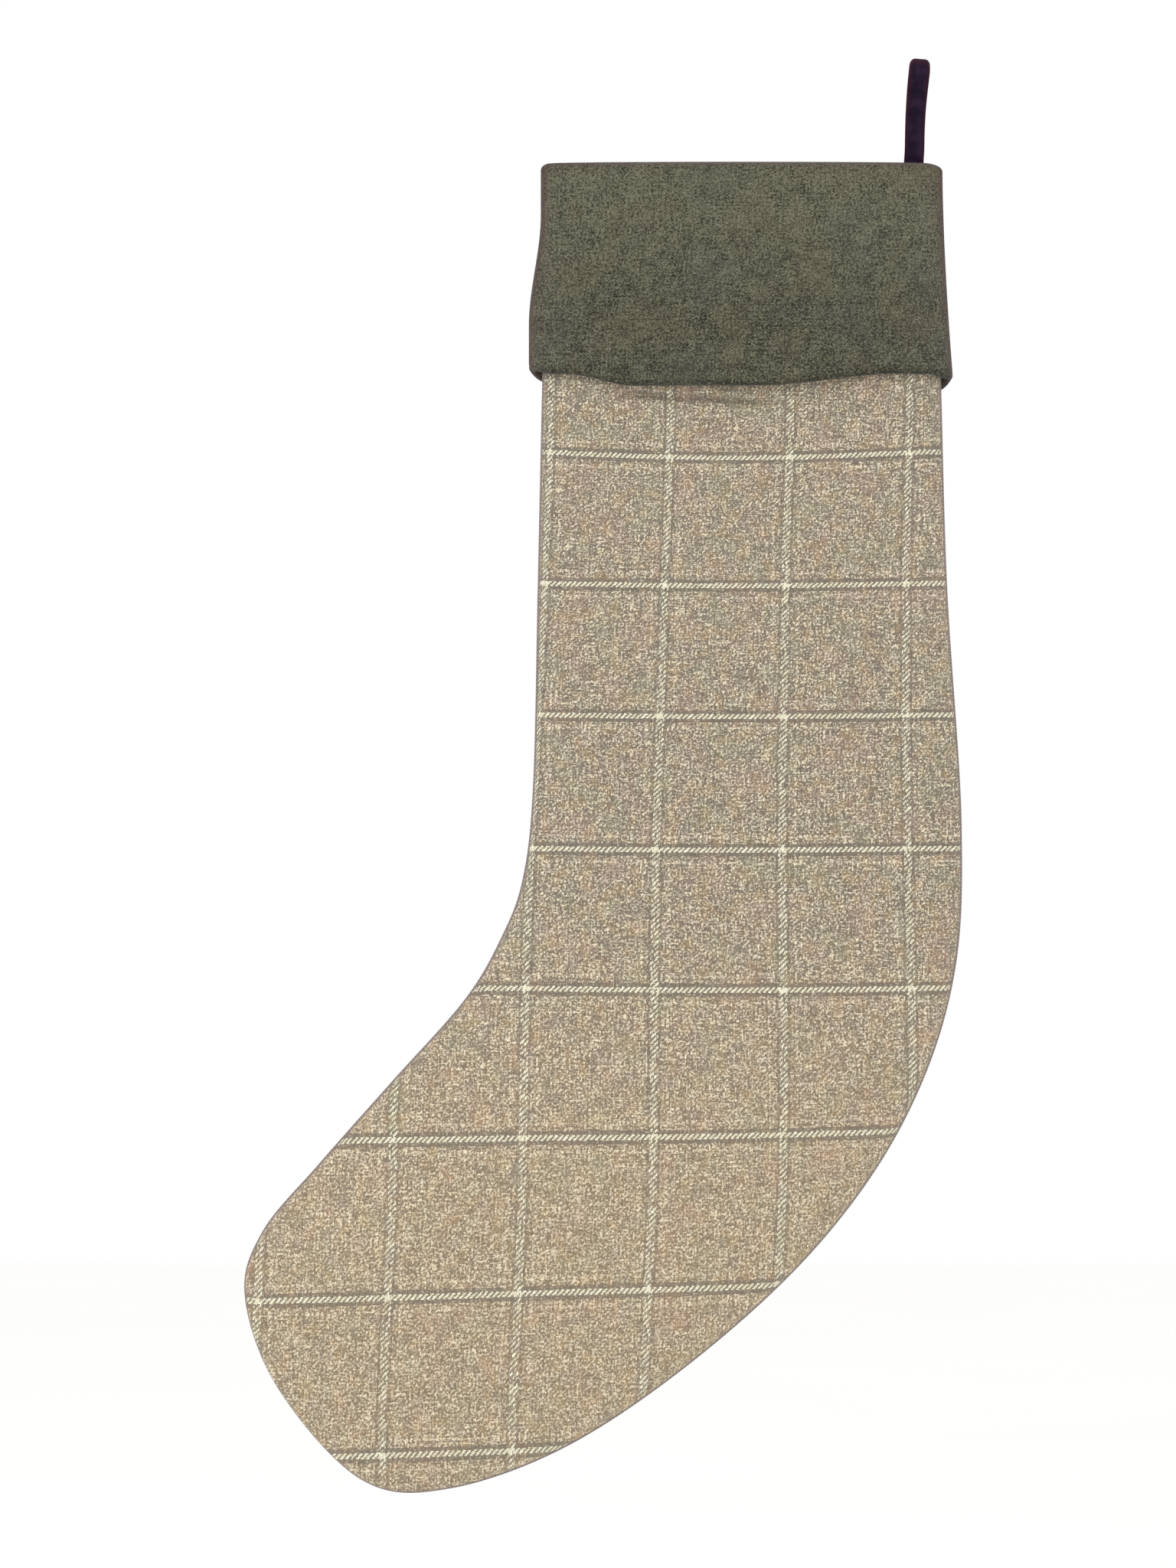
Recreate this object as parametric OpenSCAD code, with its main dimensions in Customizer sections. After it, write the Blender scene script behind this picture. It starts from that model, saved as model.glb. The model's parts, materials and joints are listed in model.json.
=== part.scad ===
// Lined wool stocking with a turned-down cuff and a ribbon loop at its heel corner.
// Frame: origin at the centre of the loop's eye, +Z up, +X towards the heel, front faces -Y.

/* [Hanging loop] */
// Radius of the eye that goes over a hook
eye_r = 4.5; // [3:0.1:5.5]
// Width of the ribbon
ribbon_w = 9; // [6:0.5:12]
// Thickness of one ply of the ribbon
ribbon_t = 1.2; // [0.8:0.1:1.5]
// Distance from the eye's centre down to the bend where the ribbon enters the mouth
loop_drop = 38; // [30:0.5:55]
// Length of the ribbon's tails inside the mouth
tail_l = 13; // [8:1:16]
// Lean of the loop towards the heel, in degrees
loop_lean = 3.5; // [0:0.5:5]

/* [Body] */
// Width from the toe to the back of the heel
body_w = 313; // [260:1:380]
// Height from the mouth to the lowest point of the toe
body_h = 578; // [480:1:700]
// Half thickness of the mouth, as a share of its half width
mouth_fullness = 0.13; // [0.12:0.01:0.16]
// Half thickness of the leg and foot, as a share of their half width
body_fullness = 0.17; // [0.16:0.01:0.22]
// Thickness of the tweed
tweed_t = 1.4; // [1:0.1:1.6]
// Thickness of the interlining
interlining_t = 1; // [0.6:0.1:1.2]
// Thickness of the lining
lining_t = 0.6; // [0.4:0.1:0.8]

/* [Cuff] */
// Height of the cuff at its side seams
cuff_h = 92; // [60:1:110]
// How much lower the hem hangs in the middle of the front
hem_sag = 4; // [0:0.5:8]
// How much lower the back half hangs than the front half
back_drop = 4; // [0:0.5:8]
// How far the hem stands out from the mouth at the side seams
side_flare = 4.6; // [3:0.1:8]
// How far the hem stands out from the mouth in the middle
middle_flare = 6.5; // [6:0.1:12]
// Thickness of the cuff's wool
cuff_t = 2; // [1.2:0.1:2.4]
// Thickness of the cuff's facing
facing_t = 0.7; // [0.4:0.1:0.8]

/* [Hidden] */
$fn = 48;

// Knots of the body's edge at the nominal size, as [x, distance below the mouth]: down the toe
// side, round the toe and up the heel side. Knots of equal rank face each other across the body.
NOMINAL_W = 313;
NOMINAL_H = 578;
TOE_SIDE = [
    [-161.3, 1.2], [-164, 96], [-166, 186], [-168, 271], [-172.5, 312], [-182, 338],
    [-198, 365], [-230, 401], [-261, 436], [-286, 466], [-293.5, 494]
];
TOE_TIP = [-279, 534];
HEEL_SIDE = [
    [6.6, 1.2], [9.3, 96], [12, 186], [18.3, 290], [14.5, 357], [-6, 416],
    [-42, 469], [-93, 517.5], [-151.5, 558], [-205, 577.5], [-243, 573.5]
];
TIP = len(TOE_SIDE);
KNOTS = [
    for (p = concat(TOE_SIDE, [TOE_TIP], [for (i = [TIP - 1:-1:0]) HEEL_SIDE[i]]))
        [p[0] * body_w / NOMINAL_W, p[1] * body_h / NOMINAL_H]
];

// Distance below the mouth over which the body fills out from the mouth's fullness to its own
FULLNESS_FADE = 150;

// Space left between neighbouring layers, and between pieces that move past each other
GAP = 0.2;
PLAY = 0.3;

// Heights of the ribbon's bend and of the mouth's upper edge
MOUTH_BELOW_BEND = 1.2;
bend_z = -loop_drop;
mouth_z = bend_z - MOUTH_BELOW_BEND;
MOUTH_SEAM_H = 1;

// Seam along the body's edge: half its thickness, half its width, and how far in its middle lies
SEAM_HALF = 0.6;
SEAM_HALF_W = 0.8;
SEAM_IN = 0.6;
SEAM_STEPS = 66;
edge_half = SEAM_HALF + PLAY;

// Half thickness of the cuff's side seams
CUFF_SEAM_HALF = 0.9;
cuff_edge_half = CUFF_SEAM_HALF + PLAY;

// Depth of each layer's two faces below the tweed's outer face
interlining_in = tweed_t + GAP;
lining_in = interlining_in + interlining_t + GAP;
inside_in = lining_in + lining_t;

// Knots between the mouth and each end of the lining's seam
LINING_SEAM_ENDS = 0.05;

// Distance of each of the cuff's faces outside the tweed's outer face
FACING_OUT = 0.5;
cuff_out = FACING_OUT + facing_t + GAP;
outside_out = cuff_out + cuff_t;
HEM_H = 1;

// Rungs cross the body at equal steps between the mouth and the toe, the last one just short of
// the toe's tip, in knots. The body's layers share them, so that all of them bend at the same places.
RUNGS = 28;
TIP_SHORT = 0.04;
rung_step = (TIP - TIP_SHORT) / RUNGS;
CUFF_ROWS = 7;
COLUMNS = 12;

// Rungs at which each layer starts and ends
TWEED_SPAN = [0, RUNGS];
INTERLINING_SPAN = [0.36, RUNGS - 2];
LINING_SPAN = [0, RUNGS - 2];

TWEED = [0.66, 0.59, 0.48];
SEAM_GREY = [0.5, 0.45, 0.43];
OLIVE = [0.36, 0.36, 0.29];
BURGUNDY = [0.25, 0.16, 0.17];
FLEECE = [0.9, 0.89, 0.86];
AUBERGINE = [0.17, 0.1, 0.18];

// --- The body's edge and the rungs that cross it ---

function spline(a, b, c, d, f) =
    let (cubic = 3 * b - a - 3 * c + d, square = 2 * a - 5 * b + 4 * c - d)
    0.5 * (2 * b + (c - a) * f + square * f * f + cubic * f * f * f);

function edge(t) =
    let (last = len(KNOTS) - 1, i = min(floor(t), last - 1))
    spline(KNOTS[max(i - 1, 0)], KNOTS[i], KNOTS[i + 1], KNOTS[min(i + 2, last)], t - i);

function smooth(f) =
    let (g = min(max(f, 0), 1))
    g * g * (3 - 2 * g);

function fullness(down) =
    mouth_fullness + (body_fullness - mouth_fullness) * smooth(down / FULLNESS_FADE);

// Unit vector out of the body's edge, in [x, down]
function outward(t) =
    let (step = 0.02, d = edge(min(t + step, 2 * TIP)) - edge(max(t - step, 0)))
    [-d[1], d[0]] / norm(d);

// Point of the front half on the rung at t knots, at an angle from the toe side (0) to the heel
// side (180), a given distance inside the tweed's outer face
function layer_point(t, inside, angle) =
    let (
        toe_end = edge(t),
        heel_end = edge(2 * TIP - t),
        middle = (toe_end + heel_end) / 2,
        half = (heel_end - toe_end) / 2,
        width = norm(half),
        depth = fullness(middle[1]) * width,
        rise = max(depth - inside, depth / (2 + inside)),
        p = middle - half * (width - min(inside, width / 2)) / width * cos(angle)
    )
    [p[0], -edge_half - rise * sin(angle), mouth_z - p[1]];

function layer_grid(span, inside) = [
    for (rung = [span[0], each [floor(span[0]) + 1:span[1]]]) [
        for (j = [0:COLUMNS]) layer_point(rung * rung_step, inside, 180 * j / COLUMNS)
    ]
];

// --- The cuff ---

mouth_middle = (edge(0) + edge(2 * TIP))[0] / 2;
mouth_half_w = (edge(2 * TIP) - edge(0))[0] / 2;
mouth_depth = mouth_fullness * mouth_half_w;

// Point of the cuff's front half at a share of its height, at an angle as above, a given
// distance outside the tweed's outer face
function cuff_point(share, outside, angle, height, sag) =
    let (spread = smooth(share))
    [
        mouth_middle - (mouth_half_w + outside + side_flare * spread) * cos(angle),
        -cuff_edge_half - (mouth_depth + outside + middle_flare * spread) * sin(angle),
        mouth_z - GAP - share * (height + sag * sin(angle) * sin(angle))
    ];

function cuff_grid(shares, outside, height, sag) = [
    for (share = shares) [
        for (j = [0:COLUMNS]) cuff_point(share, outside, 180 * j / COLUMNS, height, sag)
    ]
];

CUFF_SHARES = [for (i = [0:CUFF_ROWS]) i / CUFF_ROWS];

// --- Closed solids from grids and rings ---

function quad(a, b, c, d) = [[a, b, c], [a, c, d]];

// Closed sheet between two grids of the same size, the outer one seen from -Y
module sheet(outer, inner) {
    rows = len(outer);
    columns = len(outer[0]);
    under = rows * columns;
    last_row = (rows - 1) * columns;
    points = concat([for (row = outer) each row], [for (row = inner) each row]);
    faces = concat(
        [for (r = [0:rows - 2], c = [0:columns - 2])
            let (k = r * columns + c)
            each quad(k, k + 1, k + 1 + columns, k + columns)],
        [for (r = [0:rows - 2], c = [0:columns - 2])
            let (k = under + r * columns + c)
            each quad(k, k + columns, k + 1 + columns, k + 1)],
        [for (c = [0:columns - 2]) each quad(c, under + c, under + c + 1, c + 1)],
        [for (c = [0:columns - 2])
            let (k = last_row + c)
            each quad(k, k + 1, under + k + 1, under + k)],
        [for (r = [0:rows - 2])
            let (k = r * columns)
            each quad(k, k + columns, under + k + columns, under + k)],
        [for (r = [0:rows - 2])
            let (k = (r + 1) * columns - 1)
            each quad(k, under + k, under + k + columns, k + columns)]
    );
    polyhedron(points, faces);
}

// Closed bar through a list of rings with the same number of corners
module bar(rings) {
    corners = len(rings[0]);
    last = (len(rings) - 1) * corners;
    faces = concat(
        [[for (k = [0:corners - 1]) k]],
        [for (r = [0:len(rings) - 2], k = [0:corners - 1])
            let (a = r * corners + k, b = r * corners + (k + 1) % corners)
            each quad(a, a + corners, b + corners, b)],
        [[for (k = [corners - 1:-1:0]) last + k]]
    );
    polyhedron([for (ring = rings) each ring], faces);
}

// Six-sided bead along the body's edge, its middle a given distance inside the edge, starting
// and ending a given number of knots from the mouth
module edge_bead(ends, inside) {
    bar([
        for (i = [0:SEAM_STEPS])
            let (t = ends + 2 * (TIP - ends) * i / SEAM_STEPS, p = edge(t), n = outward(t))
            [
                for (k = [0:5])
                    let (q = p + n * (SEAM_HALF_W * cos(60 * k) - inside))
                    [q[0], SEAM_HALF * sin(60 * k), mouth_z - q[1]]
            ]
    ]);
}

module body_layer(span, inside, thickness) {
    sheet(layer_grid(span, inside), layer_grid(span, inside + thickness));
}

module cuff_layer(outside, thickness, height, sag) {
    sheet(
        cuff_grid(CUFF_SHARES, outside + thickness, height, sag),
        cuff_grid(CUFF_SHARES, outside, height, sag)
    );
}

// Band that closes the lower edges of the cuff's two layers
module cuff_hem(height, sag) {
    shares = [1 + GAP / height, 1 + (GAP + HEM_H) / height];
    sheet(
        cuff_grid(shares, outside_out, height, sag),
        cuff_grid(shares, FACING_OUT, height, sag)
    );
}

// Square bar down one side of the cuff, between its two halves
module cuff_seam(angle) {
    half_h = CUFF_SEAM_HALF;
    bar([
        for (share = CUFF_SHARES)
            let (
                inner = cuff_point(share, FACING_OUT, angle, cuff_h, 0),
                outer = cuff_point(share, outside_out, angle, cuff_h, 0)
            )
            [
                [inner[0], -half_h, inner[2]], [outer[0], -half_h, outer[2]],
                [outer[0], half_h, outer[2]], [inner[0], half_h, inner[2]]
            ]
    ]);
}

// --- The ribbon ---

leg_half = ribbon_t + GAP;

// Places the ribbon's side view, drawn as [y, z], across the ribbon's width
module across_ribbon() {
    rotate([0, loop_lean, 0])
        rotate([90, 0, 90])
            linear_extrude(ribbon_w, center = true)
                children();
}

// Two plies with a slit between them, from one height to another
module plies(low, high) {
    for (side = [-1, 1])
        translate([side * (GAP + ribbon_t / 2), (low + high) / 2])
            square([ribbon_t, high - low], center = true);
}

// --- Sub-parts ---

module hanging_loop() {
    color(AUBERGINE)
        across_ribbon()
            difference() {
                union() {
                    circle(eye_r + ribbon_t);
                    plies(bend_z + leg_half + PLAY, -eye_r);
                }
                circle(eye_r);
            }
}

module loop_tails() {
    color(AUBERGINE)
        across_ribbon() {
            translate([0, bend_z]) circle(leg_half);
            plies(bend_z - tail_l, bend_z);
        }
}

// Two bars of thread on each face of the tails
module loop_bartack() {
    bar = [ribbon_w - 2, 0.5, 0.8];
    tail_shares = [0.5, 0.9];
    color(AUBERGINE)
        for (side = [-1, 1], share = tail_shares)
            rotate([0, loop_lean, 0])
                translate([0, side * (leg_half + GAP + bar[1] / 2), bend_z - share * tail_l])
                    cube(bar, center = true);
}

module mouth_seam() {
    function half_ring(inside, side) = [
        for (j = [0:2 * COLUMNS])
            let (p = layer_point(0, inside, side > 0 ? 180 - 90 * j / COLUMNS : 90 * j / COLUMNS))
            [p[0], side * -p[1]]
    ];
    color(BURGUNDY)
        translate([0, 0, mouth_z - MOUTH_SEAM_H])
            linear_extrude(MOUTH_SEAM_H)
                difference() {
                    polygon(concat(half_ring(0, -1), half_ring(0, 1)));
                    polygon(concat(half_ring(inside_in, -1), half_ring(inside_in, 1)));
                }
}

module body_front() {
    color(TWEED) body_layer(TWEED_SPAN, 0, tweed_t);
}

module body_back() {
    color(TWEED) mirror([0, 1, 0]) body_layer(TWEED_SPAN, 0, tweed_t);
}

module side_seam() {
    color(SEAM_GREY) edge_bead(0, SEAM_IN);
}

module interlining_front() {
    color(FLEECE) body_layer(INTERLINING_SPAN, interlining_in, interlining_t);
}

module interlining_back() {
    color(FLEECE) mirror([0, 1, 0]) body_layer(INTERLINING_SPAN, interlining_in, interlining_t);
}

module lining_front() {
    color(BURGUNDY) body_layer(LINING_SPAN, lining_in, lining_t);
}

module lining_back() {
    color(BURGUNDY) mirror([0, 1, 0]) body_layer(LINING_SPAN, lining_in, lining_t);
}

module lining_seam() {
    color(BURGUNDY) edge_bead(LINING_SEAM_ENDS, lining_in);
}

// Hand stitches across the edge of the lining, which close the gap in its sole
module turning_gap_stitches() {
    stitches = 18;
    first_knot = 2 * TIP - 7.6;
    pitch_knots = 0.06;
    stitch_l = 2.4;
    stitch_r = 0.25;
    clear_of_lining = 1.4;
    color(AUBERGINE)
        for (i = [0:stitches - 1])
            let (
                t = first_knot + pitch_knots * i,
                p = edge(t) - outward(t) * (inside_in + clear_of_lining)
            )
            translate([p[0], 0, mouth_z - p[1]])
                rotate([90, 0, 0])
                    cylinder(h = stitch_l, r = stitch_r, center = true, $fn = 16);
}

module cuff_front() {
    color(OLIVE) cuff_layer(cuff_out, cuff_t, cuff_h, hem_sag);
}

module cuff_front_facing() {
    color(BURGUNDY) cuff_layer(FACING_OUT, facing_t, cuff_h, hem_sag);
}

module cuff_front_hem() {
    color(OLIVE) cuff_hem(cuff_h, hem_sag);
}

module cuff_seam_toe_side() {
    color(OLIVE) cuff_seam(0);
}

module cuff_seam_heel_side() {
    color(OLIVE) cuff_seam(180);
}

module cuff_back() {
    color(OLIVE) mirror([0, 1, 0]) cuff_layer(cuff_out, cuff_t, cuff_h + back_drop, 0);
}

module cuff_back_facing() {
    color(BURGUNDY) mirror([0, 1, 0]) cuff_layer(FACING_OUT, facing_t, cuff_h + back_drop, 0);
}

module cuff_back_hem() {
    color(OLIVE) mirror([0, 1, 0]) cuff_hem(cuff_h + back_drop, 0);
}

hanging_loop();
loop_tails();
loop_bartack();
mouth_seam();
body_front();
body_back();
side_seam();
interlining_front();
interlining_back();
lining_front();
lining_back();
lining_seam();
turning_gap_stitches();
cuff_front();
cuff_front_facing();
cuff_front_hem();
cuff_seam_toe_side();
cuff_seam_heel_side();
cuff_back();
cuff_back_facing();
cuff_back_hem();
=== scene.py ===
"""Looks of the lined wool stocking: woven cloth, ribbon, seams, studio and camera.

Lengths are metres in the CAD frame: origin at the loop's eye, +Z up, +X towards the heel, and the
front faces -Y.
"""

import json
import math

import bpy
import numpy as np
from mathutils import Matrix, Vector, noise


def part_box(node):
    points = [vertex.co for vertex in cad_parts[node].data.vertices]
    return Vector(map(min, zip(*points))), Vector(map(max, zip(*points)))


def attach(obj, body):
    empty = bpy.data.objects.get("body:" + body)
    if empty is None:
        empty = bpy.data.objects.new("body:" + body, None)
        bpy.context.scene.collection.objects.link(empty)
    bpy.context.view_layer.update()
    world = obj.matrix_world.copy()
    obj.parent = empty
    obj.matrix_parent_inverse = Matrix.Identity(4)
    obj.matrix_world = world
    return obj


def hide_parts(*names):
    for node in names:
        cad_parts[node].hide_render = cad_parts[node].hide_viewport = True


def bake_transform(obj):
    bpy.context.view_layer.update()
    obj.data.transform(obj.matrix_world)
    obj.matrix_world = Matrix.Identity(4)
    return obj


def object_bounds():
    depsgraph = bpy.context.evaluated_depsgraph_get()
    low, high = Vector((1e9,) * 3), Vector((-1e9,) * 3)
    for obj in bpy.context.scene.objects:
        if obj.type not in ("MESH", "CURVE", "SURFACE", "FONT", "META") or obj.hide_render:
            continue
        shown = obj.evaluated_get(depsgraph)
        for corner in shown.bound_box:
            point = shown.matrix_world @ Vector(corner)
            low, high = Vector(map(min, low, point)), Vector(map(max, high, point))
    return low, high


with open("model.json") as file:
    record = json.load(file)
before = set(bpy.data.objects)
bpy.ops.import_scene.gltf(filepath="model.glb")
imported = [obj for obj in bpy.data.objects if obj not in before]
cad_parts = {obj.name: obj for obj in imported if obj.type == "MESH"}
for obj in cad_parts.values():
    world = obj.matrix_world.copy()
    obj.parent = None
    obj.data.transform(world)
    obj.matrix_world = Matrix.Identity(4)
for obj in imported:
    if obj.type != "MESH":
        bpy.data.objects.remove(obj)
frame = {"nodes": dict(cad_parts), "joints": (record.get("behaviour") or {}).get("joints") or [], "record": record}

MM = 0.001
CAD_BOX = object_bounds()
JOINTS = {joint["name"]: joint for joint in frame["joints"]}
MOUNTS = {mount["name"]: mount for mount in frame["record"]["mounts"]}

# --- Sizes that the CAD part holds ---

BEND_Z = JOINTS["loop_bend"]["pos_m"][2]
MOUTH_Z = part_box("mouth_seam")[1].z
EYE_R = MOUNTS["loop_eye"]["dims"]["r_mm"] * MM
LOOP_LEAN = math.radians(3.5)
RIBBON_W = 9 * MM
RIBBON_T = 1.2 * MM
TAIL_L = 13 * MM

TWEED_T = 1.4 * MM
INTERLINING_T = 1.0 * MM
LINING_T = 0.6 * MM
LAYER_GAP = 0.2 * MM
INTERLINING_IN = TWEED_T + LAYER_GAP
LINING_IN = INTERLINING_IN + INTERLINING_T + LAYER_GAP

EDGE_HALF = 0.9 * MM
CUFF_EDGE_HALF = 1.2 * MM
CUFF_SEAM_HALF = 0.9 * MM
CUFF_H = 92 * MM
FACING_OUT = 0.5 * MM
FACING_T = 0.7 * MM
CUFF_OUT = 1.4 * MM
CUFF_T = 2 * MM
CUFF_OUTSIDE = CUFF_OUT + CUFF_T

CUFF_HEM_Z = MOUTH_Z - CUFF_H

MOUTH_FULLNESS = 0.13
BODY_FULLNESS = 0.17
FULLNESS_FADE = 150 * MM

# Knots of the body's edge, as [x, distance below the mouth] in millimetres: down the toe side,
# round the toe and up the heel side. Knots of equal rank face each other across the body.
TOE_SIDE = [
    [-161.3, 1.2], [-164, 96], [-166, 186], [-168, 271], [-172.5, 312], [-182, 338],
    [-198, 365], [-230, 401], [-261, 436], [-286, 466], [-293.5, 494],
]
TOE_TIP = [-279, 534]
HEEL_SIDE = [
    [6.6, 1.2], [9.3, 96], [12, 186], [18.3, 290], [14.5, 357], [-6, 416],
    [-42, 469], [-93, 517.5], [-151.5, 558], [-205, 577.5], [-243, 573.5],
]
TIP = len(TOE_SIDE)
KNOTS = MM * np.array(TOE_SIDE + [TOE_TIP] + HEEL_SIDE[::-1])

# Spans of the layers in knots below the mouth
UNDER_FOLD = 0.03  # the layers and their seams start inside the fold of the cuff
TWEED_SPAN = (UNDER_FOLD, TIP - 0.04)
INTERLINING_SPAN = (0.14, TIP - 0.82)
LINING_SPAN = (UNDER_FOLD, TIP - 0.82)


# --- Numbers along curves ---

SEED_STEP = 7.3  # in sizes of a hill


def smooth(share):
    """0 below 0, 1 above 1 and an even ease between them."""
    share = np.clip(share, 0, 1)
    return share * share * (3 - 2 * share)


def ramp(value, start, length):
    """0 up to start, 1 from a length past it, and an even ease between them. Constants whose names
    end in _OVER are such a start and length."""
    return smooth((value - start) / length)


def ridge(value, half_width):
    """1 at 0, falling evenly to almost 0 at twice the half width on both sides."""
    return np.exp(-((value / half_width) ** 2))


def between(share, low, high):
    """Number a share of the way from low to high."""
    return low + share * (high - low)


def edge(t):
    """Points [x, distance below the mouth] of the body's edge, t knots from the toe side's top."""
    last = len(KNOTS) - 1
    i = np.clip(np.floor(t).astype(int), 0, last - 1)
    f = (t - i)[..., None]
    a, b = KNOTS[np.maximum(i - 1, 0)], KNOTS[i]
    c, d = KNOTS[i + 1], KNOTS[np.minimum(i + 2, last)]
    cubic = (3 * b - a - 3 * c + d) * f**3 + (2 * a - 5 * b + 4 * c - d) * f**2
    return 0.5 * (2 * b + (c - a) * f + cubic)


def outward(t):
    """Unit vectors out of the body's edge."""
    step = 0.02
    along = edge(np.minimum(t + step, 2 * TIP)) - edge(np.maximum(t - step, 0))
    across = np.stack([-along[..., 1], along[..., 0]], -1)
    return across / np.linalg.norm(across, axis=-1, keepdims=True)


def lengths_along(points, axis):
    """Distance along a grid of points from its first row or column."""
    steps = np.linalg.norm(np.diff(points, axis=axis), axis=-1)
    total = np.cumsum(steps, axis=axis)
    return np.concatenate([np.zeros_like(np.take(total, [0], axis)), total], axis)


def crumple(points, height, size, seed):
    """Soft hills and hollows of a given height and size, one number for each point."""
    flat = points.reshape(-1, 3) / size + seed * SEED_STEP
    hills = np.array([noise.noise(Vector(p)) for p in flat])
    return height * hills.reshape(points.shape[:-1])


# --- Meshes ---

SHARP_FROM = math.radians(60)


def mesh_piece(name, points, faces, material, attributes=None):
    """A smooth-shaded mesh object whose points carry the named numbers."""
    mesh = bpy.data.meshes.new(name)
    mesh.from_pydata(points.tolist(), [], faces)
    mesh.polygons.foreach_set("use_smooth", [True] * len(mesh.polygons))
    mesh.set_sharp_from_angle(angle=SHARP_FROM)
    for attribute, values in (attributes or {}).items():
        kind, key = ("FLOAT_VECTOR", "vector") if values.ndim > 1 else ("FLOAT", "value")
        layer = mesh.attributes.new(attribute, kind, "POINT")
        layer.data.foreach_set(key, values.astype(np.float32).ravel())
    mesh.materials.append(material)
    mesh.update()
    piece = bpy.data.objects.new(name, mesh)
    bpy.context.scene.collection.objects.link(piece)
    return piece


def strip_faces(near, far, flip=False):
    """Quads between two rows of point numbers."""
    order = (0, 3, 2, 1) if flip else (0, 1, 2, 3)
    corners = (near[:-1], near[1:], far[1:], far[:-1])
    return np.stack([corners[k] for k in order], -1).tolist()


def cloth(name, outer, inner, material, attributes=None, flip=False):
    """A closed sheet between two grids of points, the outer one seen from -Y unless flipped."""
    rows, columns = outer.shape[:2]
    top = np.arange(rows * columns).reshape(rows, columns)
    under = top + rows * columns
    faces = []
    for r in range(rows - 1):
        faces += strip_faces(top[r], top[r + 1], not flip)
        faces += strip_faces(under[r], under[r + 1], flip)
    faces += strip_faces(top[0], under[0], flip)
    faces += strip_faces(top[-1], under[-1], not flip)
    faces += strip_faces(top[:, 0], under[:, 0], not flip)
    faces += strip_faces(top[:, -1], under[:, -1], flip)
    points = np.concatenate([outer.reshape(-1, 3), inner.reshape(-1, 3)])
    doubled = {
        key: np.concatenate([v.reshape(rows * columns, -1)] * 2).squeeze()
        for key, v in (attributes or {}).items()
    }
    return mesh_piece(name, points, faces, material, doubled)


def tube(name, rings, material, attributes=None, closed=False):
    """A tube through rings of points, capped unless it closes on itself."""
    count, corners = rings.shape[:2]
    index = np.arange(count * corners).reshape(count, corners)
    wrapped = np.concatenate([index, index[:, :1]], 1)
    ends = [(r, (r + 1) % count) for r in range(count if closed else count - 1)]
    faces = []
    for r, s in ends:
        faces += strip_faces(wrapped[r], wrapped[s], True)
    if not closed:
        faces += [index[0].tolist(), index[-1][::-1].tolist()]
    return mesh_piece(name, rings.reshape(-1, 3), faces, material, attributes)


DEPTHWARDS = np.array([[0.0, 1.0, 0.0]])
UPWARDS = np.array([[0.0, 0.0, 1.0]])


def round_rings(path, side, up, half_w, half_h, corners=10):
    """Oval rings round each point of a path, given the two directions across it."""
    angle = np.linspace(0, 2 * np.pi, corners, endpoint=False)[None, :, None]
    across = half_w * np.cos(angle) * side[:, None, :] + half_h * np.sin(angle) * up[:, None, :]
    return path[:, None, :] + across


def tube_places(across, path, third=0.0):
    """Cloth coordinates of a tube's points: across it, millimetres along its path, and a third."""
    along = lengths_along(path[:, None], 0) / MM
    return np.stack(np.broadcast_arrays(across, along, third), -1).reshape(-1, 3)


# --- Shader nodes ---


def linear(red, green, blue):
    """A screen colour of 0 to 255 as the colour that a shader takes."""
    share = np.array([red, green, blue]) / 255
    return (*np.where(share > 0.04045, ((share + 0.055) / 1.055) ** 2.4, share / 12.92), 1.0)


class Signal:
    """A number that varies over a surface: a node's output, with arithmetic."""

    def __init__(self, graph, socket):
        self.graph = graph
        self.socket = socket

    def __add__(self, other):
        return self.graph.math("ADD", self, other)

    __radd__ = __add__

    def __sub__(self, other):
        return self.graph.math("SUBTRACT", self, other)

    def __rsub__(self, other):
        return self.graph.math("SUBTRACT", other, self)

    def __mul__(self, other):
        return self.graph.math("MULTIPLY", self, other)

    __rmul__ = __mul__

    def __truediv__(self, other):
        return self.graph.math("DIVIDE", self, other)

    def __mod__(self, other):
        return self.graph.math("FLOORED_MODULO", self, other)

    def __lt__(self, other):
        return self.graph.math("LESS_THAN", self, other)

    def __gt__(self, other):
        return self.graph.math("GREATER_THAN", self, other)

    def floor(self):
        return self.graph.math("FLOOR", self)

    def fraction(self):
        return self.graph.math("FRACT", self)

    def magnitude(self):
        return self.graph.math("ABSOLUTE", self)

    def arch(self):
        """1 in the middle of 0 to 1, and 0 at its ends."""
        across = self * 2 - 1
        return 1 - across * across

    def ease(self, low, high):
        """0 up to low, 1 from high on."""
        return self.graph.ranged(self, low, high)


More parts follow.
